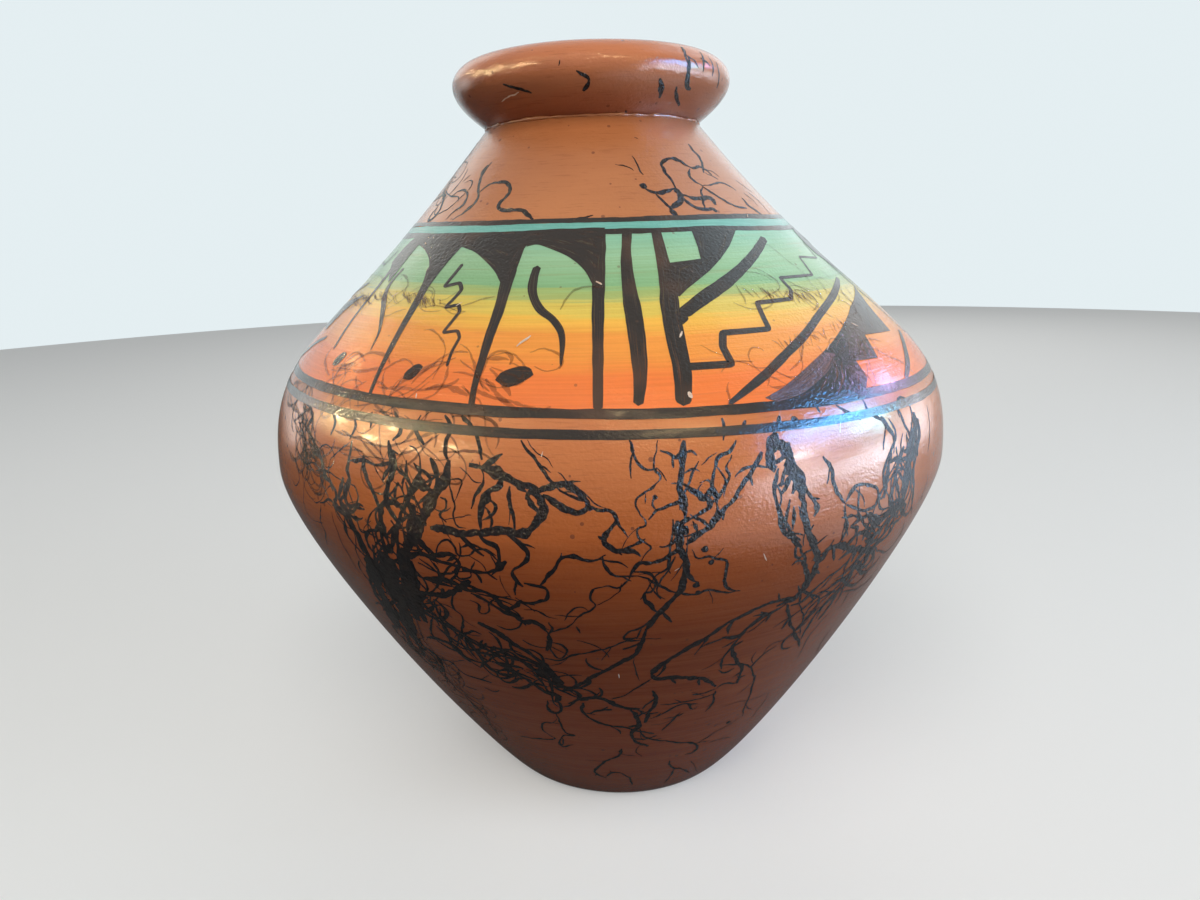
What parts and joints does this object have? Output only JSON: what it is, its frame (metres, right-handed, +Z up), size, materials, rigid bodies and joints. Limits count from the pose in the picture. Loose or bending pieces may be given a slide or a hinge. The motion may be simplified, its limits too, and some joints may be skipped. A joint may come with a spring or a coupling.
{
  "type": "pottery vase",
  "caption": "Wide-bellied terracotta vase with a small flat foot, a cone-shaped shoulder, a narrow throat and a fat rolled rim, decorated with smoke-black hair lines and a painted shoulder band.",
  "frame": {"origin": "centre of the foot's flat underside, on the surface that the vase stands on", "axes": "+Z up along the axis that the vase is turned about; +X to the right and -Y towards the viewer of the picture"},
  "size_m": [0.2296, 0.2296, 0.248],
  "materials": {
    "lacquered_clay": "burnished orange-brown terracotta under clear gloss lacquer",
    "rim_clay": "darker red-brown burnished terracotta under clear gloss lacquer",
    "bare_clay": "matt bare fired clay",
    "carbon_mark": "smoke-black carbon line under clear gloss lacquer",
    "dark_paint": "brushed dark brown paint under clear gloss lacquer",
    "band_paint": "brushed band running from turquoise through yellow to coral, under clear gloss lacquer"
  },
  "bodies": {
    "root": {"floor_slab": "bare_clay", "floor_fillet_coil": "bare_clay", "lower_wall": "lacquered_clay", "shoulder_wall": "lacquered_clay", "rolled_rim": "rim_clay"}
  },
  "joints": []
}
